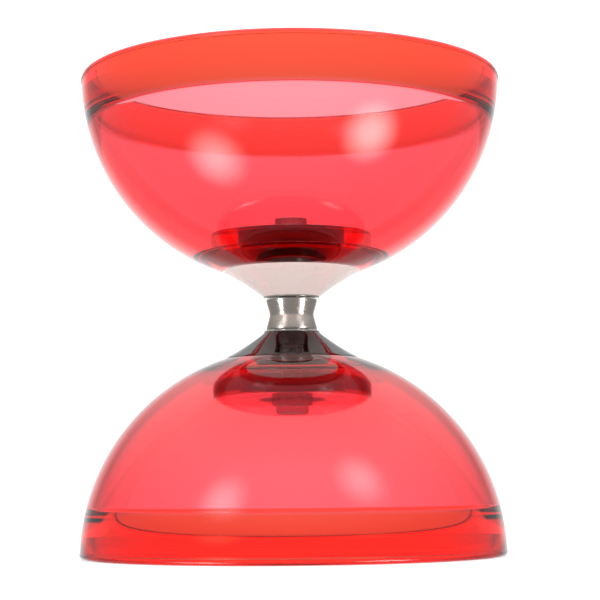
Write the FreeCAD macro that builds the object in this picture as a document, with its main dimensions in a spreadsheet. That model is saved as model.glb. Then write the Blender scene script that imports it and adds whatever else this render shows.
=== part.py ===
import FreeCAD, Part
import math
import os
import Sketcher
from FreeCAD import Vector

# Diabolo with a ball-bearing axle. Two clear moulded cups stand back to back on a threaded
# stud. Between them a waisted steel bobbin turns freely on three small ball bearings, and the
# string runs on it. The object stands on the rim of its lower cup, with +Z along the axle.
# All sizes are millimetres. Heights inside a sub-part are measured from the middle of the
# bobbin, outwards along the axle, because the two halves are the same piece turned over.

SIZES = [
    ("overall_height", 136.4, "rim to rim along the axle"),
    ("cup_diameter", 120.0, "over the bead at the mouth of a cup"),
    ("bead_height", 1.6, "height of the outer bead at the mouth"),
    ("bead_step", 0.15, "how far the bead stands out from the dome"),
    ("mouth_rounding", 1.2, "rounding of the outer corner of the mouth"),
    ("mouth_wall", 3.6, "wall at the mouth, bead included"),
    ("band_height", 12.8, "height of the thick band inside the mouth"),
    ("band_step", 1.0, "ledge where the band meets the dome wall"),
    ("dome_wall", 2.3, "wall of the dome beside the band"),
    ("dome_centre_offset", 1.0, "how far the dome's arc is centred off the axle"),
    ("hub_web", 5.7, "solid web of the cup, from the cone's seam to its floor"),
    ("floor_ring", 3.3, "flat floor round the boss"),
    ("boss_radius", 22.7, "round boss that carries the nut"),
    ("boss_height", 5.1, "boss above the floor"),
    ("boss_rounding", 0.5, "rounded edge of the boss"),
    ("cone_height", 7.55, "hub cone from its tip to the cup"),
    ("cone_base_radius", 19.7, "hub cone at the seam"),
    ("cone_seat_margin", 0.1, "seat on the cup past the cone's edge"),
    ("cone_tip_margin", 0.4, "hub cone's tip past the dust washer"),
    ("cone_tip_chamfer", 0.35, "broken edge at the tip"),
    ("cone_flank_radius", 75.0, "hollow curve of the flank"),
    ("spigot_radius", 13.2, "round spigot that centres the cone in the cup"),
    ("spigot_length", 3.05, "spigot past the seam"),
    ("spigot_clearance", 0.3, "all round the spigot"),
    ("stud_diameter", 6.0, "threaded stud, over the threads"),
    ("stud_setback", 0.4, "stud's end below the top of its nut"),
    ("stud_chamfer", 0.6, "at both ends of the stud"),
    ("bore_clearance", 0.05, "all round the stud in what it passes through"),
    ("bush_wall", 2.75, "dark centring bush inside each cone"),
    ("bush_clearance", 0.1, "all round the bush in the cone"),
    ("spigot_floor", 2.75, "closed end of the cone past the bush"),
    ("nut_seat_radius", 9.5, "black seat under the nut"),
    ("nut_seat_floor", 3.0, "under the nut"),
    ("nut_sink_clearance", 0.5, "round the nut's corners in its seat"),
    ("pocket_clearance", 0.1, "round the seat in its pocket in the boss"),
    ("pocket_depth", 4.9, "below the boss's face, filled by the seat"),
    ("nut_wall", 1.99, "from the thread to a flat of the hexagon"),
    ("nut_height", 6.0, "with its collar"),
    ("nut_hex_height", 3.9, "the part for the spanner"),
    ("nut_chamfer", 0.45, "turned corners of the hexagon"),
    ("collar_wall", 0.57, "round collar over the nylon ring"),
    ("collar_lip", 0.35, "lip that holds the nylon ring in"),
    ("insert_wall", 0.99, "nylon ring, radially"),
    ("insert_thickness", 1.5, "nylon ring"),
    ("insert_clearance", 0.03, "round the nylon ring"),
    ("bearing_section", 1.95, "ball bearing, from its bore to its outside"),
    ("bearing_width", 3.0, "ball bearing"),
    ("race_thickness", 0.6, "radial thickness of each ring"),
    ("ball_diameter", 1.2, "ball"),
    ("ball_clearance", 0.02, "between ball and groove"),
    ("groove_radius", 0.66, "ball groove in both rings"),
    ("cage_thickness", 0.46, "radial thickness of the cage"),
    ("cage_end_gap", 0.24, "between the cage and each shield"),
    ("cage_clearance", 0.05, "round each ball"),
    ("shield_thickness", 0.2, "steel shield"),
    ("shield_inset", 0.06, "shield below the bearing's face"),
    ("shield_gap", 0.09, "shield to inner ring"),
    ("shield_seat", 0.15, "depth of the shield's seat in the outer ring"),
    ("fit_clearance", 0.01, "between pieces that are pressed or glued together"),
    ("shim_thickness", 0.2, "shim beside the outer bearings"),
    ("shim_wall", 0.5, "shim, narrower than the inner ring"),
    ("dust_washer_margin", 0.73, "thin steel washer past the bobbin's end"),
    ("dust_washer_thickness", 0.45, "dust washer"),
    ("bobbin_inset", 0.2, "string sleeve inside the ends of the bearing stack"),
    ("bobbin_waist_wall", 1.29, "wall of the string sleeve at its waist"),
    ("bobbin_taper", 15.5, "degrees of each flank from the axle"),
    ("waist_rounding", 2.6, "radius of the rounded waist"),
    ("bobbin_land", 0.45, "straight rim at each end of the bobbin"),
]
BALLS_PER_BEARING = 10
BEARINGS = ("lower", "middle", "upper")
NUT_TURN = 25.0  # degrees that the nuts happen to stop at

doc = FreeCAD.newDocument("Diabolo")
sheet = doc.addObject("Spreadsheet::Sheet", "Sizes")
for row, (alias, number, note) in enumerate(SIZES, start=1):
    sheet.set(f"A{row}", note)
    sheet.set(f"B{row}", str(number))
    sheet.setAlias(f"B{row}", alias)
doc.recompute()


class Size:
    """A size that knows both its number and the expression that binds it to the sheet."""

    def __init__(self, number, text):
        self.number = number
        self.text = text

    def __add__(self, other):
        other = as_size(other)
        return Size(self.number + other.number, f"({self.text} + {other.text})")

    def __sub__(self, other):
        other = as_size(other)
        return Size(self.number - other.number, f"({self.text} - {other.text})")

    def __mul__(self, other):
        other = as_size(other)
        return Size(self.number * other.number, f"({self.text} * {other.text})")

    def __truediv__(self, other):
        other = as_size(other)
        return Size(self.number / other.number, f"({self.text} / {other.text})")


def as_size(value):
    return value if isinstance(value, Size) else Size(float(value), repr(float(value)))


def size(alias):
    return Size(float(sheet.get(alias)), f"Sizes.{alias}")


def root(value):
    return Size(math.sqrt(value.number), f"sqrt({value.text})")


def sine(degrees):
    return Size(math.sin(math.radians(degrees.number)), f"sin({degrees.text})")


def cosine(degrees):
    return Size(math.cos(math.radians(degrees.number)), f"cos({degrees.text})")


class ArcAbout:
    """Marks the stretch between two corners as an arc whose centre has this radius."""

    def __init__(self, centre_radius):
        self.centre_radius = as_size(centre_radius)


def origin_plane(body, role):
    return next(item for item in body.Origin.OriginFeatures if item.Role == role)


def new_sketch(body, name, role):
    sketch = body.newObject("Sketcher::SketchObject", name)
    sketch.AttachmentSupport = [(origin_plane(body, role), "")]
    sketch.MapMode = "FlatFace"
    return sketch


def bind(sketch, kind, first, value):
    """Adds one dimension from the sketch's origin and ties it to the sheet."""
    index = sketch.addConstraint(Sketcher.Constraint(kind, -1, 1, first[0], first[1], value.number))
    sketch.setExpression(f"Constraints[{index}]", value.text)


def arc_between(start, end, centre_radius):
    """The shorter arc from start to end whose centre lies at the given radius."""
    rise = end.y - start.y
    reach = (end.x - centre_radius) ** 2 - (start.x - centre_radius) ** 2
    centre = Vector(centre_radius, start.y + (rise + reach / rise) / 2, 0)
    first = math.atan2(start.y - centre.y, start.x - centre.x)
    last = math.atan2(end.y - centre.y, end.x - centre.x)
    circle = Part.Circle(centre, Vector(0, 0, 1), (start - centre).Length)
    forward = (last - first) % (2 * math.pi) < math.pi
    if forward:
        return Part.ArcOfCircle(circle, first, last), 1, 2
    return Part.ArcOfCircle(circle, last, first), 2, 1


def draw_outline(sketch, outline):
    """Draws a closed outline of (radius, height) corners and dimensions every corner."""
    corners = [item for item in outline if isinstance(item, tuple)]
    corners = [(as_size(radius), as_size(height)) for radius, height in corners]
    arcs = {}
    count = -1
    for item in outline:
        if isinstance(item, ArcAbout):
            arcs[count] = item.centre_radius
        else:
            count += 1
    ends = []
    for index, (radius, height) in enumerate(corners):
        next_radius, next_height = corners[(index + 1) % len(corners)]
        start = Vector(radius.number, height.number, 0)
        end = Vector(next_radius.number, next_height.number, 0)
        if index in arcs:
            curve, start_point, end_point = arc_between(start, end, arcs[index].number)
        else:
            curve, start_point, end_point = Part.LineSegment(start, end), 1, 2
        ends.append((sketch.addGeometry(curve, False), start_point, end_point))
    for index, (curve, _, end_point) in enumerate(ends):
        following, start_point, _ = ends[(index + 1) % len(ends)]
        sketch.addConstraint(Sketcher.Constraint("Coincident", curve, end_point, following, start_point))
    for index, (curve, start_point, _) in enumerate(ends):
        radius, height = corners[index]
        if radius.number == 0:
            sketch.addConstraint(Sketcher.Constraint("PointOnObject", curve, start_point, -2))
        else:
            bind(sketch, "DistanceX", (curve, start_point), radius)
        if height.number == 0:
            sketch.addConstraint(Sketcher.Constraint("PointOnObject", curve, start_point, -1))
        else:
            bind(sketch, "DistanceY", (curve, start_point), height)
    for index, centre_radius in arcs.items():
        if centre_radius.number == 0:
            sketch.addConstraint(Sketcher.Constraint("PointOnObject", ends[index][0], 3, -2))
        else:
            bind(sketch, "DistanceX", (ends[index][0], 3), centre_radius)


def turned(label, outline):
    """A body of revolution about +Z, drawn as one outline in the XZ plane."""
    body = doc.addObject("PartDesign::Body", label)
    sketch = new_sketch(body, f"{label}_outline", "XZ_Plane")
    draw_outline(sketch, outline)
    revolution = body.newObject("PartDesign::Revolution", f"{label}_turning")
    revolution.Profile = sketch
    revolution.ReferenceAxis = (sketch, ["V_Axis"])
    revolution.Angle = 360.0
    sketch.Visibility = False
    doc.recompute()
    return body


def ring(label, inner_radius, outer_radius, low, high):
    outline = [(inner_radius, low), (outer_radius, low), (outer_radius, high), (inner_radius, high)]
    return turned(label, outline)


def lift(item, height):
    item.setExpression(".Placement.Base.z", as_size(height).text)


def place_half(item, side):
    """Stands a half on the middle of the bobbin: the upper one as drawn, the lower one turned over."""
    if side == "lower":
        item.Placement = FreeCAD.Placement(Vector(0, 0, 0), FreeCAD.Rotation(Vector(1, 0, 0), 180))
    lift(item, middle)


def with_mirror_image(label, source, plane_height):
    """A group of two equal solids: the source and its image across a level plane."""
    image = doc.addObject("Part::Mirroring", f"{label}_image")
    image.Source = source
    image.Normal = Vector(0, 0, 1)
    image.setExpression("Base.z", plane_height.text)
    group = doc.addObject("Part::Compound", label)
    group.Links = [source, image]
    return group


nodes = []


def keep(item, label):
    item.Label = label
    nodes.append(item)


middle = size("overall_height") / 2
stud_radius = size("stud_diameter") / 2
stud_bore = stud_radius + size("bore_clearance")

# Across the axle: bearings on the stud, bobbin on the bearings, then washer and cone tip.
bearing_outer = stud_bore + size("bearing_section")
bobbin_bore = bearing_outer + size("fit_clearance")
waist_radius = bobbin_bore + size("bobbin_waist_wall")
bobbin_half = size("bearing_width") * len(BEARINGS) / 2 - size("bobbin_inset")
taper = size("bobbin_taper")
waist_rounding = size("waist_rounding")
waist_arc_half = waist_rounding * sine(taper)
waist_arc_end = waist_radius + waist_rounding - waist_rounding * cosine(taper)
flank_run = bobbin_half - size("bobbin_land") - waist_arc_half
bobbin_end_radius = waist_arc_end + flank_run * sine(taper) / cosine(taper)
dust_washer_radius = bobbin_end_radius + size("dust_washer_margin")
cone_tip_radius = dust_washer_radius + size("cone_tip_margin")
bush_radius = stud_bore + size("bush_wall")

# Along the axle, from the middle of the bobbin outwards.
bearing_stack = size("bearing_width") * len(BEARINGS) / 2
shim_end = bearing_stack + size("shim_thickness")
dust_washer_end = shim_end + size("dust_washer_thickness")
seam = dust_washer_end + size("cone_height")
spigot_end = seam + size("spigot_length")
bush_end = spigot_end - size("spigot_floor")
floor_height = seam + size("hub_web")
boss_face = floor_height + size("boss_height")
pocket_floor = boss_face - size("pocket_depth")
nut_base = pocket_floor + size("nut_seat_floor")
nut_top = nut_base + size("nut_height")


def cup_outline():
    """Bowl with a thick band at its mouth, a flat hub floor and a round boss for the nut."""
    mouth = middle
    rim_radius = size("cup_diameter") / 2
    rounding = size("mouth_rounding")
    bead_low = mouth - size("bead_height")
    dome_top = rim_radius - size("bead_step")
    offset = size("dome_centre_offset")
    seat_radius = size("cone_base_radius") + size("cone_seat_margin")
    ledge = mouth - size("band_height")

    # The outside of the dome is one arc through the bead's foot and the seat's edge.
    drop = bead_low - seam
    reach_top = dome_top - offset
    reach_seat = seat_radius - offset
    centre_above_seam = (drop * drop + reach_top * reach_top - reach_seat * reach_seat) / (drop * 2)
    dome_radius = root(centre_above_seam * centre_above_seam + reach_seat * reach_seat)
    ledge_below_centre = seam + centre_above_seam - ledge
    outer_at_ledge = offset + root(dome_radius * dome_radius - ledge_below_centre * ledge_below_centre)
    inner_at_ledge = outer_at_ledge - size("dome_wall")

    boss = size("boss_radius")
    edge = size("boss_rounding")
    recess = size("spigot_radius") + size("spigot_clearance")
    pocket = size("nut_seat_radius") + size("pocket_clearance")
    return [
        (stud_bore, spigot_end),
        (recess, spigot_end),
        (recess, seam),
        (seat_radius, seam),
        ArcAbout(offset),
        (dome_top, bead_low),
        (rim_radius, bead_low),
        (rim_radius, mouth - rounding),
        ArcAbout(rim_radius - rounding),
        (rim_radius - rounding, mouth),
        (rim_radius - size("mouth_wall"), mouth),
        (inner_at_ledge - size("band_step"), ledge),
        (inner_at_ledge, ledge),
        ArcAbout(offset),
        (boss + size("floor_ring"), floor_height),
        (boss + edge, floor_height),
        ArcAbout(boss + edge),
        (boss, floor_height + edge),
        (boss, boss_face - edge),
        ArcAbout(boss - edge),
        (boss - edge, boss_face),
        (pocket, boss_face),
        (pocket, pocket_floor),
        (stud_bore, pocket_floor),
    ]


def cone_outline():
    """Hub cone: hollow-flanked, with a bored heart for the bush and a spigot into the cup."""
    tip = cone_tip_radius
    chamfer = size("cone_tip_chamfer")
    base = size("cone_base_radius")
    flank_low = dust_washer_end + chamfer
    run = base - tip
    rise = seam - flank_low
    chord = root(run * run + rise * rise)
    flank = size("cone_flank_radius")
    centre = (base + tip) / 2 + root(flank * flank - chord * chord / 4) * rise / chord
    heart = bush_radius + size("bush_clearance")
    return [
        (heart, dust_washer_end),
        (tip - chamfer, dust_washer_end),
        (tip, flank_low),
        ArcAbout(centre),
        (base, seam),
        (size("spigot_radius"), seam),
        (size("spigot_radius"), spigot_end),
        (stud_bore, spigot_end),
        (stud_bore, bush_end),
        (heart, bush_end),
    ]


for side in ("upper", "lower"):
    cup = turned(f"{side}_cup", cup_outline())
    place_half(cup, side)
    keep(cup, f"{side}_cup")

    cone = turned(f"{side}_hub_cone", cone_outline())
    place_half(cone, side)
    keep(cone, f"{side}_hub_cone")

    bush = ring(f"{side}_centring_bush", stud_bore, bush_radius, dust_washer_end, bush_end)
    place_half(bush, side)
    keep(bush, f"{side}_centring_bush")

    dust_washer = ring(f"{side}_dust_washer", stud_bore, dust_washer_radius, shim_end, dust_washer_end)
    place_half(dust_washer, side)
    keep(dust_washer, f"{side}_dust_washer")

    shim = ring(f"{side}_shim_ring", stud_bore, stud_bore + size("shim_wall"), bearing_stack, shim_end)
    place_half(shim, side)
    keep(shim, f"{side}_shim_ring")

# Stud: the one piece that runs through everything else.
stud_length = (nut_top - size("stud_setback")) * 2
stud_chamfer = size("stud_chamfer")
stud = turned("axle_stud", [
    (0, 0),
    (stud_radius - stud_chamfer, 0),
    (stud_radius, stud_chamfer),
    (stud_radius, stud_length - stud_chamfer),
    (stud_radius - stud_chamfer, stud_length),
    (0, stud_length),
])
lift(stud, middle - stud_length / 2)
keep(stud, "axle_stud")

# Lock nuts: a turned blank with a collar and a groove for the nylon ring, cut to a hexagon.
nut_bore = stud_radius + size("fit_clearance")
nut_corner = (nut_bore + size("nut_wall")) / cosine(as_size(30))
hex_height = size("nut_hex_height")
nut_chamfer = size("nut_chamfer")
groove_top = size("nut_height") - size("collar_lip")
groove_low = groove_top - size("insert_thickness") - size("insert_clearance") * 2
insert_outer = nut_bore + size("insert_wall")
groove_wall = insert_outer + size("insert_clearance")
collar_radius = groove_wall + size("collar_wall")
blank = turned("nut_blank", [
    (nut_bore, 0),
    (nut_corner - nut_chamfer, 0),
    (nut_corner, nut_chamfer),
    (nut_corner, hex_height - nut_chamfer),
    (nut_corner - nut_chamfer, hex_height),
    (collar_radius, hex_height),
    (collar_radius, groove_top),
    (collar_radius - size("collar_lip"), size("nut_height")),
    (nut_bore + size("collar_lip"), size("nut_height")),
    (nut_bore + size("collar_lip"), groove_top),
    (groove_wall, groove_top),
    (groove_wall, groove_low),
    (nut_bore, groove_low),
])
hexagon = doc.addObject("Part::Prism", "nut_hexagon")
hexagon.Polygon = 6
hexagon.setExpression("Circumradius", nut_corner.text)
hexagon.setExpression("Height", size("nut_height").text)
nut = doc.addObject("Part::Common", "lock_nut")
nut.Base = hexagon
nut.Tool = blank
nut.Placement = FreeCAD.Placement(Vector(0, 0, 0), FreeCAD.Rotation(Vector(0, 0, 1), NUT_TURN))
lift(nut, middle + nut_base)
keep(with_mirror_image("lock_nuts", nut, middle), "lock_nuts")

insert = ring("nut_insert", nut_bore, insert_outer, 0, size("insert_thickness"))
lift(insert, middle + nut_base + groove_low + size("insert_clearance"))
keep(with_mirror_image("lock_nut_inserts", insert, middle), "lock_nut_inserts")

# Nut seats, flush with the bosses, each with a round sink for its nut.
seat_radius = size("nut_seat_radius")
seat_height = size("pocket_depth")
sink_radius = nut_corner + size("nut_sink_clearance")
seat = turned("nut_seat", [
    (stud_bore, 0),
    (seat_radius, 0),
    (seat_radius, seat_height),
    (sink_radius, seat_height),
    (sink_radius, size("nut_seat_floor")),
    (stud_bore, size("nut_seat_floor")),
])
lift(seat, middle + pocket_floor)
keep(with_mirror_image("nut_seats", seat, middle), "nut_seats")

# Bobbin: two tapered flanks that meet in a rounded waist, bored for the bearings.
bobbin_length = bobbin_half * 2
bobbin = turned("bobbin_sleeve", [
    (bobbin_bore, 0),
    (bobbin_end_radius, 0),
    (bobbin_end_radius, size("bobbin_land")),
    (waist_arc_end, bobbin_half - waist_arc_half),
    ArcAbout(waist_radius + waist_rounding),
    (waist_arc_end, bobbin_half + waist_arc_half),
    (bobbin_end_radius, bobbin_length - size("bobbin_land")),
    (bobbin_end_radius, bobbin_length),
    (bobbin_bore, bobbin_length),
])
lift(bobbin, middle - bobbin_half)
keep(bobbin, "bobbin_sleeve")

# Ball bearings: inner ring on the stud, outer ring in the bobbin, balls in a cage between.
outer_wall = bearing_outer
inner_wall = stud_bore
pitch = (outer_wall + inner_wall) / 2
width = size("bearing_width")
half_width = width / 2
inner_shoulder = inner_wall + size("race_thickness")
outer_shoulder = outer_wall - size("race_thickness")
groove = size("groove_radius")
ball_radius = size("ball_diameter") / 2
inner_groove_centre = pitch - ball_radius - size("ball_clearance") + groove
outer_groove_centre = pitch + ball_radius + size("ball_clearance") - groove
inner_reach = inner_groove_centre - inner_shoulder
outer_reach = outer_shoulder - outer_groove_centre
inner_groove_half = root(groove * groove - inner_reach * inner_reach)
outer_groove_half = root(groove * groove - outer_reach * outer_reach)
shield_outer = outer_shoulder + size("shield_seat")
shield_low = size("shield_inset")
shield_high = shield_low + size("shield_thickness")
cage_inner = pitch - size("cage_thickness") / 2
cage_outer = pitch + size("cage_thickness") / 2
cage_low = shield_high + size("cage_end_gap")


def inner_ring_outline():
    return [
        (inner_wall, 0),
        (inner_shoulder, 0),
        (inner_shoulder, half_width - inner_groove_half),
        ArcAbout(inner_groove_centre),
        (inner_shoulder, half_width + inner_groove_half),
        (inner_shoulder, width),
        (inner_wall, width),
    ]


def outer_ring_outline():
    return [
        (outer_wall, 0),
        (outer_wall, width),
        (shield_outer, width),
        (shield_outer, width - shield_high),
        (outer_shoulder, width - shield_high),
        (outer_shoulder, half_width + outer_groove_half),
        ArcAbout(outer_groove_centre),
        (outer_shoulder, half_width - outer_groove_half),
        (outer_shoulder, shield_high),
        (shield_outer, shield_high),
        (shield_outer, 0),
    ]


def bearing_cage(label):
    """A plain ring with one round pocket for each ball."""
    body = ring(label, cage_inner, cage_outer, cage_low, width - cage_low)
    solid_volume = body.Shape.Volume
    sketch = new_sketch(body, f"{label}_pocket_outline", "XZ_Plane")
    circle = sketch.addGeometry(Part.Circle(Vector(0, half_width.number, 0), Vector(0, 0, 1), 1.0), False)
    sketch.addConstraint(Sketcher.Constraint("PointOnObject", circle, 3, -2))
    bind(sketch, "DistanceY", (circle, 3), half_width)
    pocket_radius = ball_radius + size("cage_clearance")
    index = sketch.addConstraint(Sketcher.Constraint("Radius", circle, pocket_radius.number))
    sketch.setExpression(f"Constraints[{index}]", pocket_radius.text)
    pocket = body.newObject("PartDesign::Pocket", f"{label}_pocket")
    pocket.Profile = sketch
    pocket.setExpression("Length", (cage_outer * 2).text)
    doc.recompute()
    one_pocket = solid_volume - body.Shape.Volume
    pattern = body.newObject("PartDesign::PolarPattern", f"{label}_pockets")
    pattern.Originals = [pocket]
    pattern.Axis = (origin_plane(body, "Z_Axis"), [""])
    pattern.Angle = 360.0
    pattern.Occurrences = BALLS_PER_BEARING
    body.Tip = pattern
    sketch.Visibility = False
    doc.recompute()
    all_pockets = solid_volume - body.Shape.Volume
    if one_pocket <= 0 or abs(all_pockets / one_pocket - BALLS_PER_BEARING) > 0.1:
        raise RuntimeError(f"{label}: the ball pockets did not cut")
    return body


def ball_set(label, height):
    """The balls of one bearing, evenly round its pitch circle."""
    balls = []
    for number in range(BALLS_PER_BEARING):
        angle = 90.0 + 360.0 * number / BALLS_PER_BEARING
        ball = doc.addObject("Part::Sphere", f"{label}_{number + 1}")
        ball.setExpression("Radius", ball_radius.text)
        ball.setExpression(".Placement.Base.x", f"{pitch.text} * cos({angle})")
        ball.setExpression(".Placement.Base.y", f"{pitch.text} * sin({angle})")
        lift(ball, height)
        balls.append(ball)
    group = doc.addObject("Part::Compound", label)
    group.Links = balls
    return group


for number, position in enumerate(BEARINGS):
    name = f"{position}_bearing"
    base = middle - bearing_stack + width * number

    inner_ring = turned(f"{name}_inner_ring", inner_ring_outline())
    lift(inner_ring, base)
    keep(inner_ring, f"{name}_inner_ring")

    outer_ring = turned(f"{name}_outer_ring", outer_ring_outline())
    lift(outer_ring, base)
    keep(outer_ring, f"{name}_outer_ring")

    cage = bearing_cage(f"{name}_cage")
    lift(cage, base)
    keep(cage, f"{name}_cage")

    keep(ball_set(f"{name}_balls", base + half_width), f"{name}_balls")

    shield = ring(
        f"{name}_shield",
        inner_shoulder + size("shield_gap"),
        shield_outer - size("fit_clearance"),
        shield_low,
        shield_high,
    )
    lift(shield, base)
    keep(with_mirror_image(f"{name}_shields", shield, base + half_width), f"{name}_shields")

doc.recompute()

for item in doc.Objects:
    if "Invalid" in item.State or "Error" in item.State:
        raise RuntimeError(f"{item.Name} failed: {item.State}")
for item in nodes:
    if item.Shape.isNull() or not item.Shape.isValid() or not item.Shape.Solids:
        raise RuntimeError(f"{item.Label} has no valid solid")

os.makedirs("parts", exist_ok=True)
for item in nodes:
    item.Shape.exportStep(f"parts/{item.Label}.step")
    print(item.Label, len(item.Shape.Solids), "solid(s)", round(item.Shape.Volume, 2), "mm3")
print(len(nodes), "nodes")
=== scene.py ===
import math

import bmesh
import bpy
from mathutils import Matrix, Vector


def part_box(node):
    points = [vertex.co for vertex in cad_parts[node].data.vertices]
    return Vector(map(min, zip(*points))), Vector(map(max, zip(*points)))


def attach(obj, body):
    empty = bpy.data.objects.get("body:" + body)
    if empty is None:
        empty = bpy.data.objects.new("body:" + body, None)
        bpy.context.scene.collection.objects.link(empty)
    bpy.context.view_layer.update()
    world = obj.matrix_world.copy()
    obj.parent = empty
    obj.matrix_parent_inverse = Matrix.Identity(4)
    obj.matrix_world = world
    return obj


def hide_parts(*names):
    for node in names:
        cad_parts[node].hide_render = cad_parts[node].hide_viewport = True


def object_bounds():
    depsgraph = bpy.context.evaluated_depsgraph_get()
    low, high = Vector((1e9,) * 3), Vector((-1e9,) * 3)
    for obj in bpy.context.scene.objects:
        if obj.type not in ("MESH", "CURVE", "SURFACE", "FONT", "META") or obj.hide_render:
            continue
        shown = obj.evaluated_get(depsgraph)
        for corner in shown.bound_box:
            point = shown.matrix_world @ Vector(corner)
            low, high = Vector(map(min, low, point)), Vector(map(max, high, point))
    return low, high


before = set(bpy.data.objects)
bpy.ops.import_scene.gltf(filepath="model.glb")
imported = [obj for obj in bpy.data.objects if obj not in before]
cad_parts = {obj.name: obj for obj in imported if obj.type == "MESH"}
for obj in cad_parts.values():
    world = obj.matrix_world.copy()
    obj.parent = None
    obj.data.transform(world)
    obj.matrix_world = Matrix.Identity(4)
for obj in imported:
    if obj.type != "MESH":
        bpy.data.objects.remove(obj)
cadLow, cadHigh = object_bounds()

mm = 0.001
middle = (cadLow.z + cadHigh.z) / 2  # height of the bobbin's waist
sides = {"upper": 1, "lower": -1}  # both halves are drawn upwards from the middle, then turned over


def halfBox(node):
    # radius of a turned node, and how near to the middle it starts and ends, in mm
    low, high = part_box(node)
    radius = min(high.x, high.y, -low.x, -low.y) / mm
    near, far = sorted((abs(low.z - middle) / mm, abs(high.z - middle) / mm))
    return radius, near, far


# Mesh tools

turning = {
    "steps": 240,  # round the axle
    "smallSteps": 144,  # round a small ring
    "arcSag": 0.004,  # mm that a straight step may leave an arc by
    "cornerAngle": 30,  # degrees from which an edge counts as a corner
    "weld": 1e-7,  # metres between points that become one
}


def swing(shape, pen, target, centreRadius):
    # carries the pen along an arc whose centre is at that radius and equally far from both ends
    rise = target.z - pen.co.z
    reach = (target.x - centreRadius) ** 2 - (pen.co.x - centreRadius) ** 2
    centre = Vector((centreRadius, 0, (target.z + pen.co.z) / 2 + reach / (2 * rise)))
    start, end = pen.co - centre, target - centre
    angle = math.atan2(end.x, end.z) - math.atan2(start.x, start.z)
    angle = (angle + math.pi) % (2 * math.pi) - math.pi
    widest = 2 * math.sqrt(2 * turning["arcSag"] * mm / start.length)
    arc = bmesh.ops.spin(shape, geom=[pen], cent=centre, axis=(0, 1, 0), angle=angle,
                         steps=max(2, math.ceil(abs(angle) / widest)))
    return arc["geom_last"][0]


def drawOutline(shape, corners):
    # corners are (radius, height) in mm from the middle
    # a third number makes the line to that corner an arc, and is the radius its centre lies at
    first = pen = shape.verts.new((corners[0][0] * mm, 0, corners[0][1] * mm))
    for radius, height, *centreRadius in corners[1:]:
        target = Vector((radius * mm, 0, height * mm))
        if centreRadius:
            pen = swing(shape, pen, target, centreRadius[0] * mm)
        else:
            pen = bmesh.ops.extrude_vert_indiv(shape, verts=[pen])["verts"][0]
            pen.co = target
    shape.edges.new((pen, first))


def cornersOf(shape):
    limit = math.radians(turning["cornerAngle"])
    return [e for e in shape.edges if len(e.link_faces) == 2 and e.calc_face_angle(0) > limit]


def weldAndFace(shape):
    bmesh.ops.remove_doubles(shape, verts=shape.verts, dist=turning["weld"])
    bmesh.ops.recalc_face_normals(shape, faces=shape.faces)


def turnOutline(corners, softening=0.0, steps=turning["steps"]):
    # softening is the size in mm of the small round left on each corner
    shape = bmesh.new()
    drawOutline(shape, corners)
    bmesh.ops.spin(shape, geom=shape.verts[:] + shape.edges[:], cent=(0, 0, 0), axis=(0, 0, 1),
                   angle=2 * math.pi, steps=steps, use_merge=True)
    weldAndFace(shape)
    if softening:
        bmesh.ops.bevel(shape, geom=cornersOf(shape), offset=softening * mm, offset_type="OFFSET",
                        segments=2, profile=0.5, affect="EDGES", material=-1, clamp_overlap=True)
    return shape


def finishPiece(name, shape, material, body, slotName, *nodes, flip=False):
    if flip:
        bmesh.ops.scale(shape, vec=(1, 1, -1), verts=shape.verts)
        bmesh.ops.recalc_face_normals(shape, faces=shape.faces)
    bmesh.ops.translate(shape, vec=(0, 0, middle), verts=shape.verts)
    for face in shape.faces:
        face.smooth = True
    for edge in cornersOf(shape):
        edge.smooth = False
    piece = placeMesh(name, shape, material)
    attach(piece, body)
    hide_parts(*nodes)


def placeMesh(name, shape, material):
    mesh = bpy.data.meshes.new(name)
    shape.to_mesh(mesh)
    shape.free()
    mesh.materials.append(material)
    piece = bpy.data.objects.new(name, mesh)
    bpy.context.scene.collection.objects.link(piece)
    return piece


def addMirrorImage(shape):
    # the same shape again on the other side of the middle plane
    copy = bmesh.ops.duplicate(shape, geom=shape.verts[:] + shape.edges[:] + shape.faces[:])["geom"]
    bmesh.ops.scale(shape, vec=(1, 1, -1), verts=[v for v in copy if isinstance(v, bmesh.types.BMVert)])
    bmesh.ops.recalc_face_normals(shape, faces=shape.faces)


# Material tools

patternRange = (0.3, 0.7)  # most of a cloud's values


def fromHex(code):
    values = [int(code[i:i + 2], 16) / 255 for i in (1, 3, 5)]
    return (*[v / 12.92 if v <= 0.04045 else ((v + 0.055) / 1.055) ** 2.4 for v in values], 1)


def addNode(material, kind, inputs=None, **settings):
    tree = material.node_tree
    node = tree.nodes.new("ShaderNode" + kind)
    for name, value in settings.items():
        setattr(node, name, value)
    for name, value in (inputs or {}).items():
        if isinstance(value, bpy.types.NodeSocket):
            tree.links.new(value, node.inputs[name])
        else:
            node.inputs[name].default_value = value
    return node


def startMaterial(name, inputs):
    material = bpy.data.materials.new(name)
    material.use_nodes = True
    shader = material.node_tree.nodes["Principled BSDF"]
    for socket, value in inputs.items():
        shader.inputs[socket].default_value = value
    return material, shader


def linkTo(material, shader, socket, source):
    material.node_tree.links.new(source, shader.inputs[socket])


def objectPlace(material):
    return addNode(material, "TexCoord").outputs["Object"]


def addCloud(material, place, grain, detail=2):
    # a soft cloud whose grain has that many mm
    inputs = {"Vector": place, "Scale": 1 / (grain * mm), "Detail": detail}
    return addNode(material, "TexNoise", inputs).outputs[0]


def addRings(material, place, pitch, **inputs):
    # rings round the axle, that many mm apart
    inputs.update({"Vector": place, "Scale": math.pi / 10 / (pitch * mm)})
    return addNode(material, "TexWave", inputs, bands_direction="Z").outputs["Fac"]


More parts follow.
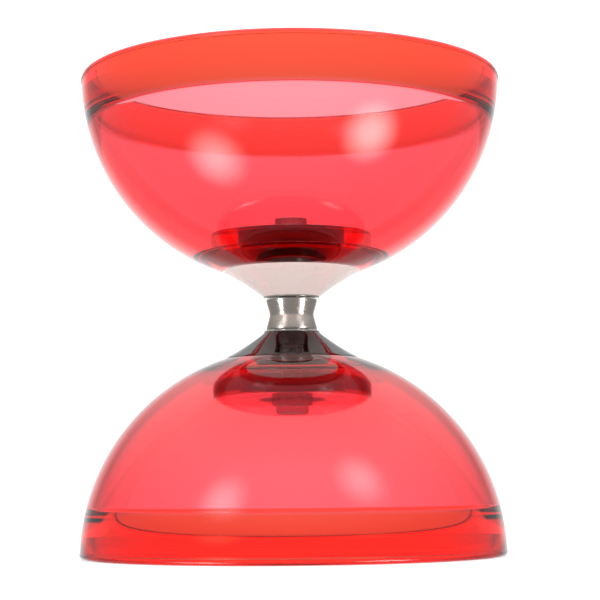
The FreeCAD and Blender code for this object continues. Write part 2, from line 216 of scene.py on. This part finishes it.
def spread(material, value, fromLow, fromHigh, toLow=0.0, toHigh=1.0, **settings):
    # carries a value from one range to another and stops at its ends
    inputs = {"Value": value, "From Min": fromLow, "From Max": fromHigh, "To Min": toLow, "To Max": toHigh}
    return addNode(material, "MapRange", inputs, **settings).outputs[0]


def mixColours(material, share, first, second):
    inputs = {0: share, 6: fromHex(first), 7: fromHex(second)}
    return addNode(material, "Mix", inputs, data_type="RGBA").outputs[2]


def addAbsorption(material, loss):
    # light lost per metre of plastic, for each colour
    density = max(loss) * 1.02  # a little over the largest, so no colour is quite black
    colour = (*[1 - part / density for part in loss], 1)
    volume = addNode(material, "VolumeAbsorption", {"Color": colour, "Density": density})
    output = material.node_tree.nodes["Material Output"]
    material.node_tree.links.new(volume.outputs[0], output.inputs["Volume"])


def roughenWith(material, shader, pattern, finish):
    roughness = spread(material, pattern, *patternRange, finish["smooth"], finish["rough"])
    linkTo(material, shader, "Roughness", roughness)


def bumpWith(material, shader, pattern, finish):
    inputs = {"Height": pattern, "Strength": finish["bump"], "Distance": finish["bumpDepth"] * mm}
    linkTo(material, shader, "Normal", addNode(material, "Bump", inputs).outputs[0])


# Clear polycarbonate, dyed red and injection moulded in a polished mould. It is clear and glossy,
# and the thick band and hub look deeper and warmer than the thin dome.

redPlastic = {
    "ior": 1.585,
    "loss": (8, 480, 450),  # red, green and blue per metre
    "domeTint": "#FFF0FA", "bandTint": "#FFB878",
    "bandHeight": 12.8, "bandFade": 0.6,  # mm down from the rim, and mm either side of its ledge
    "scuffSize": 6.0, "scuffDetail": 3, "smooth": 0.02, "rough": 0.05,  # the size is in mm
}


def makeRedPlastic():
    material, shader = startMaterial("moulded clear red polycarbonate", {
        "IOR": redPlastic["ior"], "Transmission Weight": 1.0, "Roughness": 0.0})
    place = objectPlace(material)
    scuffs = addCloud(material, place, redPlastic["scuffSize"], redPlastic["scuffDetail"])
    roughenWith(material, shader, scuffs, redPlastic)
    height = addNode(material, "SeparateXYZ", {0: place}).outputs["Z"]
    fromMiddle = addNode(material, "Math", {0: height, 1: middle}, operation="SUBTRACT").outputs[0]
    reach = addNode(material, "Math", {0: fromMiddle}, operation="ABSOLUTE").outputs[0]
    ledge = (cadHigh.z - middle) - redPlastic["bandHeight"] * mm
    fade = redPlastic["bandFade"] * mm
    inBand = spread(material, reach, ledge - fade, ledge + fade)
    tint = mixColours(material, inBand, redPlastic["domeTint"], redPlastic["bandTint"])
    linkTo(material, shader, "Base Color", tint)
    addAbsorption(material, redPlastic["loss"])
    return material


# Acrylonitrile butadiene styrene, white, moulded glossy: opaque, with a soft broad shine.

whitePlastic = {
    "ior": 1.54, "subsurface": 0.06, "subsurfaceReach": 1.0,  # the reach and the mottle are in mm
    # both tones are white tinged pink: the pink is painted light, red bounced up from the cups
    "colour": "#E9DCD6", "shade": "#E3D6D0", "mottle": 7.0, "smooth": 0.22, "rough": 0.3,
}


def makeWhitePlastic():
    material, shader = startMaterial("moulded white gloss ABS", {
        "IOR": whitePlastic["ior"], "Subsurface Weight": whitePlastic["subsurface"],
        "Subsurface Scale": whitePlastic["subsurfaceReach"] * mm})
    mottle = addCloud(material, objectPlace(material), whitePlastic["mottle"])
    colour = mixColours(material, mottle, whitePlastic["colour"], whitePlastic["shade"])
    linkTo(material, shader, "Base Color", colour)
    roughenWith(material, shader, mottle, whitePlastic)
    return material


# Clear polycarbonate with a smoke dye, moulded glossy: nearly black where it is thick.

smokedPlastic = {"ior": 1.5, "loss": (235, 265, 265), "tint": "#F4F0F2"}  # the loss is per metre


def makeSmokedPlastic():
    material, _ = startMaterial("moulded smoked polycarbonate", {
        "IOR": smokedPlastic["ior"], "Transmission Weight": 1.0, "Roughness": 0.0,
        "Base Color": fromHex(smokedPlastic["tint"])})
    addAbsorption(material, smokedPlastic["loss"])
    return material


# Acetal, black, turned on a lathe: satin, with faint rings.

blackPlastic = {
    "ior": 1.48, "colour": "#141314", "smooth": 0.34, "rough": 0.46,
    "ringPitch": 0.18, "bump": 0.2, "bumpDepth": 0.01,  # pitch and depth are in mm
}


def makeBlackPlastic():
    material, shader = startMaterial("turned black acetal", {
        "IOR": blackPlastic["ior"], "Base Color": fromHex(blackPlastic["colour"])})
    rings = addRings(material, objectPlace(material), blackPlastic["ringPitch"])
    roughenWith(material, shader, rings, blackPlastic)
    bumpWith(material, shader, rings, blackPlastic)
    return material


# Polyamide 6 in its natural colour, moulded: milky and waxy.

nylon = {
    "ior": 1.53, "subsurface": 0.3, "subsurfaceReach": 1.0,  # the reach and the grain are in mm
    "colour": "#DCD9CC", "grain": 1.2, "smooth": 0.38, "rough": 0.5,
}


def makeNylon():
    material, shader = startMaterial("moulded natural nylon", {
        "IOR": nylon["ior"], "Subsurface Weight": nylon["subsurface"],
        "Subsurface Scale": nylon["subsurfaceReach"] * mm, "Base Color": fromHex(nylon["colour"])})
    roughenWith(material, shader, addCloud(material, objectPlace(material), nylon["grain"]), nylon)
    return material


# Metals differ in colour, in how smooth they are, and in the rings or grain left by the making.
# Rings go round the axle at that pitch along it; grain is a fine cloud of that size. All in mm.

metals = {
    "turned stainless steel": {
        "colour": "#B9AFA8", "smooth": 0.16, "rough": 0.3, "ringPitch": 0.16, "grain": 0.5, "bump": 0.25},
    "polished steel sheet": {
        "colour": "#C6C1BB", "smooth": 0.1, "rough": 0.2, "ringPitch": 0, "grain": 1.5, "bump": 0.02},
    "bright zinc plated steel": {
        "colour": "#B4B4B6", "smooth": 0.24, "rough": 0.4, "ringPitch": 0, "grain": 0.6, "bump": 0.12},
    "ground bearing steel": {
        "colour": "#C4C4C4", "smooth": 0.1, "rough": 0.2, "ringPitch": 0.1, "grain": 0.4, "bump": 0.05},
    "machined brass": {
        "colour": "#C9A25A", "smooth": 0.22, "rough": 0.36, "ringPitch": 0.1, "grain": 0.4, "bump": 0.1},
}
metalPattern = {"grainDetail": 3, "ringWobble": 0.6, "wobbleScale": 0.5, "bumpDepth": 0.01}  # depth in mm


def makeMetal(name):
    finish = {**metalPattern, **metals[name]}
    material, shader = startMaterial(name, {"Metallic": 1.0, "Base Color": fromHex(finish["colour"])})
    place = objectPlace(material)
    pattern = addCloud(material, place, finish["grain"], finish["grainDetail"])
    roughenWith(material, shader, pattern, finish)
    if finish["ringPitch"]:
        wobble = {"Distortion": finish["ringWobble"], "Detail Scale": finish["wobbleScale"]}
        pattern = addRings(material, place, finish["ringPitch"], **wobble)
    bumpWith(material, shader, pattern, finish)
    return material


redPolycarbonate = makeRedPlastic()
whiteAbs = makeWhitePlastic()
smokedPolycarbonate = makeSmokedPlastic()
blackAcetal = makeBlackPlastic()
naturalNylon = makeNylon()
stainlessSteel, steelSheet, zincSteel, bearingSteel, brass = [makeMetal(name) for name in metals]
print("materials made")


# Cups: one clear moulding each, with a thick band at the mouth and a solid boss round the nut

cup = {
    "beadHeight": 1.6, "beadStep": 0.15, "mouthRounding": 1.2, "mouthWall": 3.6,
    "bandHeight": 12.8, "bandStep": 1.0, "domeWall": 2.3, "domeCentre": 1.0,
    "seatRadius": 19.8, "seam": 12.7, "floor": 18.4, "floorRing": 3.3,
    # radius and floor of the hole for the spigot: the white cone touches there, the other doesn't
    "recess": {"upper": (13.18, 15.74), "lower": (13.5, 15.75)},
    "bossRadius": 22.7, "bossFace": 23.5, "bossRounding": 0.5,
    "pocketRadius": 9.48, "pocketFloor": 18.62,  # the black nut seat touches all round
    "bore": 3.05, "softening": 0.08,
}


def cupOutline(side):
    rim, _, mouth = halfBox(f"{side}_cup")
    recess, recessFloor = cup["recess"][side]
    beadLow, ledge = mouth - cup["beadHeight"], mouth - cup["bandHeight"]
    domeTop, offset, seam = rim - cup["beadStep"], cup["domeCentre"], cup["seam"]
    drop = beadLow - seam
    centre = (drop ** 2 + (domeTop - offset) ** 2 - (cup["seatRadius"] - offset) ** 2) / (2 * drop)
    domeRadius = math.hypot(centre, cup["seatRadius"] - offset)
    insideLedge = offset + math.sqrt(domeRadius ** 2 - (seam + centre - ledge) ** 2) - cup["domeWall"]
    boss, edge = cup["bossRadius"], cup["bossRounding"]
    return [
        (cup["bore"], recessFloor), (recess, recessFloor), (recess, seam),
        (cup["seatRadius"], seam), (domeTop, beadLow, offset),
        (rim, beadLow), (rim, mouth - cup["mouthRounding"]),
        (rim - cup["mouthRounding"], mouth, rim - cup["mouthRounding"]),
        (rim - cup["mouthWall"], mouth), (insideLedge - cup["bandStep"], ledge), (insideLedge, ledge),
        (boss + cup["floorRing"], cup["floor"], offset),
        (boss + edge, cup["floor"]), (boss, cup["floor"] + edge, boss + edge),
        (boss, cup["bossFace"] - edge), (boss - edge, cup["bossFace"], boss - edge),
        (cup["pocketRadius"], cup["bossFace"]), (cup["pocketRadius"], cup["pocketFloor"]),
        (cup["bore"], cup["pocketFloor"]),
    ]


for side, up in sides.items():
    shape = turnOutline(cupOutline(side), cup["softening"])
    finishPiece(f"{side}CupMoulding", shape, redPolycarbonate, "cups", "clear_red_polycarbonate",
                f"{side}_cup", flip=up < 0)
print("cups made")


# Hub cones: a hollow-flanked cone with a spigot into the cup and a heart for the bush

cone = {
    "tipRadius": 8.4, "tipChamfer": 0.35, "flankCentre": 75.0, "spigotRadius": 13.2, "heartRadius": 5.9,
    "bushEnd": 13.0, "bore": 3.05, "softening": 0.08,
    "gap": {"upper": -0.01, "lower": 0.04},  # between cone and cup: the white cone touches
}


def coneOutline(side):
    base, tipHeight, spigotEnd = halfBox(f"{side}_hub_cone")
    gap = cone["gap"][side]
    tip, seam = cone["tipRadius"], cup["seam"] - gap
    spigotEnd -= max(gap, 0)
    flankLow = tipHeight + cone["tipChamfer"]
    run, rise = base - tip, seam - flankLow
    chord = math.hypot(run, rise)
    flank = cone["flankCentre"]
    centre = (base + tip) / 2 + math.sqrt(flank ** 2 - chord ** 2 / 4) * rise / chord
    return [
        (cone["heartRadius"], tipHeight), (tip - cone["tipChamfer"], tipHeight), (tip, flankLow),
        (base, seam, centre), (cone["spigotRadius"], seam), (cone["spigotRadius"], spigotEnd),
        (cone["bore"], spigotEnd), (cone["bore"], cone["bushEnd"]), (cone["heartRadius"], cone["bushEnd"]),
    ]


coneFinish = {"upper": (whiteAbs, "white_abs"), "lower": (smokedPolycarbonate, "smoked_polycarbonate")}
for side, up in sides.items():
    material, slotName = coneFinish[side]
    shape = turnOutline(coneOutline(side), cone["softening"])
    finishPiece(f"{side}HubCone", shape, material, "cups", slotName, f"{side}_hub_cone", flip=up < 0)
print("cones made")


# Rings: bushes and dust washers

ringPieces = {
    "CentringBush": {
        "node": "centring_bush", "material": blackAcetal, "slot": "black_acetal", "softening": 0.25},
    "DustWasher": {
        "node": "dust_washer", "material": steelSheet, "slot": "polished_steel", "softening": 0.06},
}


def ringOutline(radius, near, far, bore=3.05, gap=0.02):
    return [(bore, near + gap), (radius, near + gap), (radius, far - gap), (bore, far - gap)]


for name, ring in ringPieces.items():
    for side, up in sides.items():
        node = f"{side}_{ring['node']}"
        shape = turnOutline(ringOutline(*halfBox(node)), ring["softening"], turning["smallSteps"])
        finishPiece(side + name, shape, ring["material"], "cups", ring["slot"], node, flip=up < 0)


# Nut seats: black blocks flush with the bosses, each with a round sink for its nut

nutSeat = {
    "height": 4.9, "floor": 3.0, "sinkRadius": 6.27, "bore": 3.05, "softening": 0.12,
    "setback": 0.03,  # below the boss's face
}


def nutSeatOutline():
    radius, _, top = halfBox("nut_seats")
    low, top = top - nutSeat["height"], top - nutSeat["setback"]
    return [
        (nutSeat["bore"], low), (radius, low), (radius, top), (nutSeat["sinkRadius"], top),
        (nutSeat["sinkRadius"], low + nutSeat["floor"]), (nutSeat["bore"], low + nutSeat["floor"]),
    ]


shape = turnOutline(nutSeatOutline(), nutSeat["softening"])
addMirrorImage(shape)
finishPiece("nutSeatPair", shape, blackAcetal, "cups", "black_acetal", "nut_seats")
print("rings and seats made")


# Bobbin: a steel sleeve with a waist for the string

bobbin = {"bore": 5.01, "waist": 6.3, "waistRounding": 2.6, "taper": 15.5, "land": 0.45, "softening": 0.07}


def bobbinOutline():
    low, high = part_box("bobbin_sleeve")
    half = (high.z - low.z) / 2 / mm
    taper = math.radians(bobbin["taper"])
    arcHalf = bobbin["waistRounding"] * math.sin(taper)
    arcCentre = bobbin["waist"] + bobbin["waistRounding"]
    arcEnd = arcCentre - bobbin["waistRounding"] * math.cos(taper)
    end = arcEnd + (half - bobbin["land"] - arcHalf) * math.tan(taper)
    end = min(end, (high.x - low.x) / 2 / mm)
    return [
        (bobbin["bore"], -half), (end, -half), (end, bobbin["land"] - half), (arcEnd, -arcHalf),
        (arcEnd, arcHalf, arcCentre), (end, half - bobbin["land"]), (end, half), (bobbin["bore"], half),
    ]


shape = turnOutline(bobbinOutline(), bobbin["softening"])
finishPiece("bobbinSleeve", shape, stainlessSteel, "bobbin", "turned_stainless_steel", "bobbin_sleeve")
print("bobbin made")


# Stud: a rod with a rolled thread at each end

stud = {
    "core": 2.62, "endRounding": 0.3, "endMargin": 0.6, "steps": 96,
    "threadFrom": 13.0, "shoulder": 0.4,  # where the plain middle narrows to the thread's core
    "pitch": 1.0, "crest": 0.12, "rootDepth": 0.08, "footShare": 0.98, "stepsPerTurn": 48,
}


def addThread(shape, radius, end, up):
    # a ridge wound up the core: its section is carried round and along, and its first end is closed
    pitch, root = stud["pitch"], stud["core"] - stud["rootDepth"]
    foot, crest = pitch / 2 * stud["footShare"], stud["crest"] / 2
    start = up * (stud["threadFrom"] + pitch / 2)
    turns = (end - stud["endMargin"] - stud["threadFrom"]) / pitch - 1
    steps = round(turns * stud["stepsPerTurn"])
    corners = [(root, -foot), (root, foot), (radius, crest), (radius, -crest)]
    outline = [shape.verts.new((reach * mm, 0, (start + height) * mm)) for reach, height in corners]
    outline.append(shape.faces.new(outline))
    bmesh.ops.spin(shape, geom=outline, cent=(0, 0, 0), axis=(0, 0, 1), angle=2 * math.pi * turns,
                   dvec=(0, 0, up * turns * pitch * mm / steps), steps=steps)


def makeStud():
    radius, _, end = halfBox("axle_stud")
    core, rounding, threadFrom = stud["core"], stud["endRounding"], stud["threadFrom"]
    shoulder = threadFrom - stud["shoulder"]
    shape = turnOutline([
        (0, -end), (core - rounding, -end), (core, rounding - end), (core, -threadFrom),
        (radius, -shoulder), (radius, shoulder),
        (core, threadFrom), (core, end - rounding), (core - rounding, end), (0, end),
    ], steps=stud["steps"])
    for up in sides.values():
        addThread(shape, radius, end, up)
    bmesh.ops.recalc_face_normals(shape, faces=shape.faces)
    return shape


finishPiece("axleStud", makeStud(), zincSteel, "cups", "zinc_plated_steel", "axle_stud")
print("stud made")


# Lock nuts: a chamfered hexagon under a collar that holds a nylon ring

nut = {
    "height": 6.0, "hexHeight": 3.9, "acrossFlats": 10.0, "turn": 25, "sideSteps": 12, "chamferAngle": 30,
    "flatRadius": 4.75, "ringBore": 4.05, "bore": 3.02, "gap": 0.02, "grooveRise": 0.1,
    # heights over the hexagon's shoulder, then under the nut's top, each with its radius
    "collarFoot": [(0, 4.75), (0, 4.65), (0.1, 4.6)],
    "rolledLip": [(-0.55, 4.6), (-0.25, 4.54), (-0.04, 4.3), (0, 4.15), (-0.03, 3.85), (-0.3, 3.8)],
    "lip": 0.3,
}


def makeNut():
    _, _, nutTop = halfBox("lock_nuts")
    base = nutTop - nut["height"] + nut["gap"]
    shape = bmesh.new()
    bmesh.ops.create_circle(shape, segments=6, radius=nut["acrossFlats"] / math.sqrt(3) * mm)
    bmesh.ops.subdivide_edges(shape, edges=shape.edges[:], cuts=nut["sideSteps"] - 1)
    turn = Matrix.Rotation(math.radians(nut["turn"]), 3, "Z")
    bmesh.ops.rotate(shape, verts=shape.verts, matrix=turn)
    slope = math.tan(math.radians(nut["chamferAngle"]))

    def nextRing(rim, height, radius=None, slant=0):
        # the loop again at another height, pushed to that radius or left a hexagon with a chamfer
        made = bmesh.ops.extrude_edge_only(shape, edges=rim)["geom"]
        rim = [e for e in made if isinstance(e, bmesh.types.BMEdge)]
        for vert in {v for e in rim for v in e.verts}:
            reach = math.hypot(vert.co.x, vert.co.y)
            spill = max(0, reach / mm - nut["flatRadius"]) * slope * slant
            share = radius * mm / reach if radius else 1
            vert.co = Vector((vert.co.x * share, vert.co.y * share, (height - spill) * mm))
        return rim

    first = rim = shape.edges[:]
    for vert in shape.verts:
        reach = math.hypot(vert.co.x, vert.co.y) / mm
        vert.co.z = (base + max(0, reach - nut["flatRadius"]) * slope) * mm
    shoulder = base + nut["hexHeight"]
    groove = shoulder + nut["grooveRise"]
    profile = [(shoulder + rise, radius) for rise, radius in nut["collarFoot"]]
    profile += [(nutTop + rise, radius) for rise, radius in nut["rolledLip"]]
    profile += [(nutTop - nut["lip"], nut["ringBore"]), (groove, nut["ringBore"]), (groove, nut["bore"]),
                (base, nut["bore"]), (base, nut["flatRadius"])]
    rim = nextRing(rim, shoulder, slant=1)
    for height, radius in profile:
        rim = nextRing(rim, height, radius)
    bmesh.ops.bridge_loops(shape, edges=rim + first)
    weldAndFace(shape)
    addMirrorImage(shape)
    return shape


finishPiece("lockNutPair", makeNut(), zincSteel, "cups", "zinc_plated_steel", "lock_nuts")

insert = {"thickness": 1.5, "softening": 0.15}
insertRadius, _, insertFar = halfBox("lock_nut_inserts")
outline = ringOutline(insertRadius, insertFar - insert["thickness"], insertFar)
shape = turnOutline(outline, insert["softening"], turning["smallSteps"])
addMirrorImage(shape)
finishPiece("nylonRingPair", shape, naturalNylon, "cups", "natural_nylon", "lock_nut_inserts")
print("nuts made")


# Bearings and shims keep their own meshes

bearingFinish = {"cage": brass}
for label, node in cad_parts.items():
    if "bearing" in label or "shim" in label:
        material = bearingFinish.get(label.rsplit("_", 1)[-1], bearingSteel)
        node.data.materials.clear()
        node.data.materials.append(material)
print("bearings finished")


# Studio: a pale floor, a bright sweep behind and overhead, a dim room in front and soft lamps

studio = {
    "behind": 1.28, "front": 0.42, "fill": 1.5,
    # the room goes from dim to bright as a direction points this far straight back, or straight up
    "sweep": (0.8, 1.0), "overhead": (0.25, 0.75),
    "floorColour": "#E6E6E6", "floorGlow": 0.5, "floorRadius": 4.0, "floorDrop": 0.0001,  # metres
    "floorSteps": 96, "lampSteps": 64, "lampReach": 1.2,  # metres from the cup to a lamp
}


def makeWorld():
    # shines see the sweep and the room, diffuse surfaces an even fill, and all else the bright sweep
    world = bpy.data.worlds.new("studio")
    bpy.context.scene.world = world
    world.use_nodes = True
    background = world.node_tree.nodes["Background"]
    ray = addNode(world, "LightPath").outputs
    way = addNode(world, "TexCoord").outputs["Generated"]
    parts = addNode(world, "SeparateXYZ", {0: way}).outputs
    nearness = spread(world, parts["Y"], *studio["sweep"])
    openness = spread(world, parts["Z"], *studio["overhead"])
    brightest = addNode(world, "Math", {0: nearness, 1: openness}, operation="MAXIMUM").outputs[0]
    room = spread(world, brightest, 0, 1, studio["front"], studio["behind"])
    shine = addNode(world, "Mix", {0: ray["Is Glossy Ray"], 2: studio["behind"], 3: room}).outputs[0]
    seen = addNode(world, "Mix", {0: ray["Is Diffuse Ray"], 2: shine, 3: studio["fill"]}).outputs[0]
    world.node_tree.links.new(seen, background.inputs["Strength"])
    background.inputs["Color"].default_value = (1, 1, 1, 1)


def stagePiece(name, shape, material):
    piece = placeMesh(name, shape, material)
    return piece


def makeFloor():
    material, _ = startMaterial("white acrylic light table", {
        "Base Color": fromHex(studio["floorColour"]), "Roughness": 0.9, "Specular IOR Level": 0.0,
        "Emission Color": (1, 1, 1, 1), "Emission Strength": studio["floorGlow"]})
    shape = bmesh.new()
    bmesh.ops.create_circle(shape, cap_ends=True, segments=studio["floorSteps"],
                            radius=studio["floorRadius"])
    bmesh.ops.translate(shape, vec=(0, 0, cadLow.z - studio["floorDrop"]), verts=shape.verts)
    stagePiece("floor", shape, material).visible_glossy = False


# point on the cup in mm, azimuth and elevation towards the lamp in degrees, width in metres, strength
lamps = [
    {"from": (-19.4, -46.6, 104.5), "azimuth": -60, "elevation": -47, "width": 0.85, "strength": 6},
    {"from": (20.7, -50.5, 112.1), "azimuth": 54, "elevation": -35, "width": 0.85, "strength": 9},
    {"from": (-16.9, -54.8, 17.1), "azimuth": -40, "elevation": 32, "width": 0.7, "strength": 2.2},
    {"from": (16.4, -53.1, 22.0), "azimuth": 43, "elevation": 41, "width": 0.7, "strength": 2.2},
]


def makeLampGlow(index, strength):
    # brightest in the middle of the disc and fading to nothing at its edge
    material = bpy.data.materials.new(f"lamp {index}")
    material.use_nodes = True
    tree = material.node_tree
    tree.nodes.remove(tree.nodes["Principled BSDF"])
    place = addNode(material, "TexCoord").outputs["UV"]
    middleOfDisc = {0: place, 1: (0.5, 0.5, 0)}
    away = addNode(material, "VectorMath", middleOfDisc, operation="DISTANCE").outputs["Value"]
    glow = spread(material, away, 0.5, 0.0, 0.0, strength, interpolation_type="SMOOTHSTEP")
    clear = addNode(material, "BsdfTransparent").outputs[0]
    emission = addNode(material, "Emission", {"Strength": glow}).outputs[0]
    both = addNode(material, "AddShader", {0: clear, 1: emission}).outputs[0]
    tree.links.new(both, tree.nodes["Material Output"].inputs["Surface"])
    return material


def makeLamp(index, lamp):
    # a round lamp that shows only as a shine
    shape = bmesh.new()
    bmesh.ops.create_circle(shape, cap_ends=True, segments=studio["lampSteps"],
                            radius=lamp["width"] / 2, calc_uvs=True)
    uv = shape.loops.layers.uv.verify()
    for face in shape.faces:
        for loop in face.loops:
            loop[uv].uv = (loop.vert.co.x / lamp["width"] + 0.5, loop.vert.co.y / lamp["width"] + 0.5)
    azimuth, elevation = math.radians(lamp["azimuth"]), math.radians(lamp["elevation"])
    way = Vector((math.sin(azimuth) * math.cos(elevation), -math.cos(azimuth) * math.cos(elevation),
                  math.sin(elevation)))
    bmesh.ops.rotate(shape, verts=shape.verts, matrix=way.to_track_quat("Z", "Y").to_matrix())
    place = Vector(lamp["from"]) * mm + way * studio["lampReach"]
    bmesh.ops.translate(shape, verts=shape.verts, vec=place)
    piece = stagePiece(f"lamp{index}", shape, makeLampGlow(index, lamp["strength"]))
    piece.visible_camera = piece.visible_diffuse = piece.visible_transmission = piece.visible_shadow = False


strips = {"azimuths": (-52, 52), "reach": 0.6, "width": 0.12, "height": 0.3, "power": 2.0}


def makeStrip(azimuth, target):
    # a tall soft lamp that only the turned steel shows
    light = bpy.data.lights.new("strip", "AREA")
    light.shape, light.size, light.size_y = "RECTANGLE", strips["width"], strips["height"]
    light.energy = strips["power"]
    lamp = bpy.data.objects.new("strip", light)
    bpy.context.scene.collection.objects.link(lamp)
    turn = math.radians(azimuth)
    lamp.location = (strips["reach"] * math.sin(turn), -strips["reach"] * math.cos(turn), middle)
    lamp.rotation_euler = (math.pi / 2, 0, turn)
    lamp.visible_diffuse = lamp.visible_transmission = lamp.visible_camera = False
    lamp.light_linking.receiver_collection = target


shinySteel = bpy.data.collections.new("shiny steel")
shinySteel.objects.link(bpy.data.objects["bobbinSleeve"])
for azimuth in strips["azimuths"]:
    makeStrip(azimuth, shinySteel)
makeWorld()
makeFloor()
for index, lamp in enumerate(lamps):
    makeLamp(index, lamp)
print("studio made")


# Camera

camera = {
    "place": (0, -0.4962, 0.01965), "yaw": -0.278, "pitch": 6.081, "roll": -0.524,  # metres and degrees
    "lens": 104.78, "sensor": 36,  # mm
}
bounces = {  # clear plastic needs many
    "max_bounces": 24, "transmission_bounces": 24, "transparent_max_bounces": 24, "glossy_bounces": 8,
}


def makeCamera():
    data = bpy.data.cameras.new("camera")
    data.sensor_width = camera["sensor"]
    data.lens = camera["lens"]
    stand = bpy.data.objects.new("camera", data)
    bpy.context.scene.collection.objects.link(stand)
    yaw, pitch, roll = [math.radians(camera[turn]) for turn in ("yaw", "pitch", "roll")]
    stand.matrix_world = (Matrix.Translation(camera["place"]) @ Matrix.Rotation(yaw, 4, "Z")
                          @ Matrix.Rotation(math.pi / 2 + pitch, 4, "X") @ Matrix.Rotation(roll, 4, "Z"))
    bpy.context.scene.camera = stand


makeCamera()
scene = bpy.context.scene
scene.view_settings.view_transform = "Standard"
for setting, count in bounces.items():
    setattr(scene.cycles, setting, count)
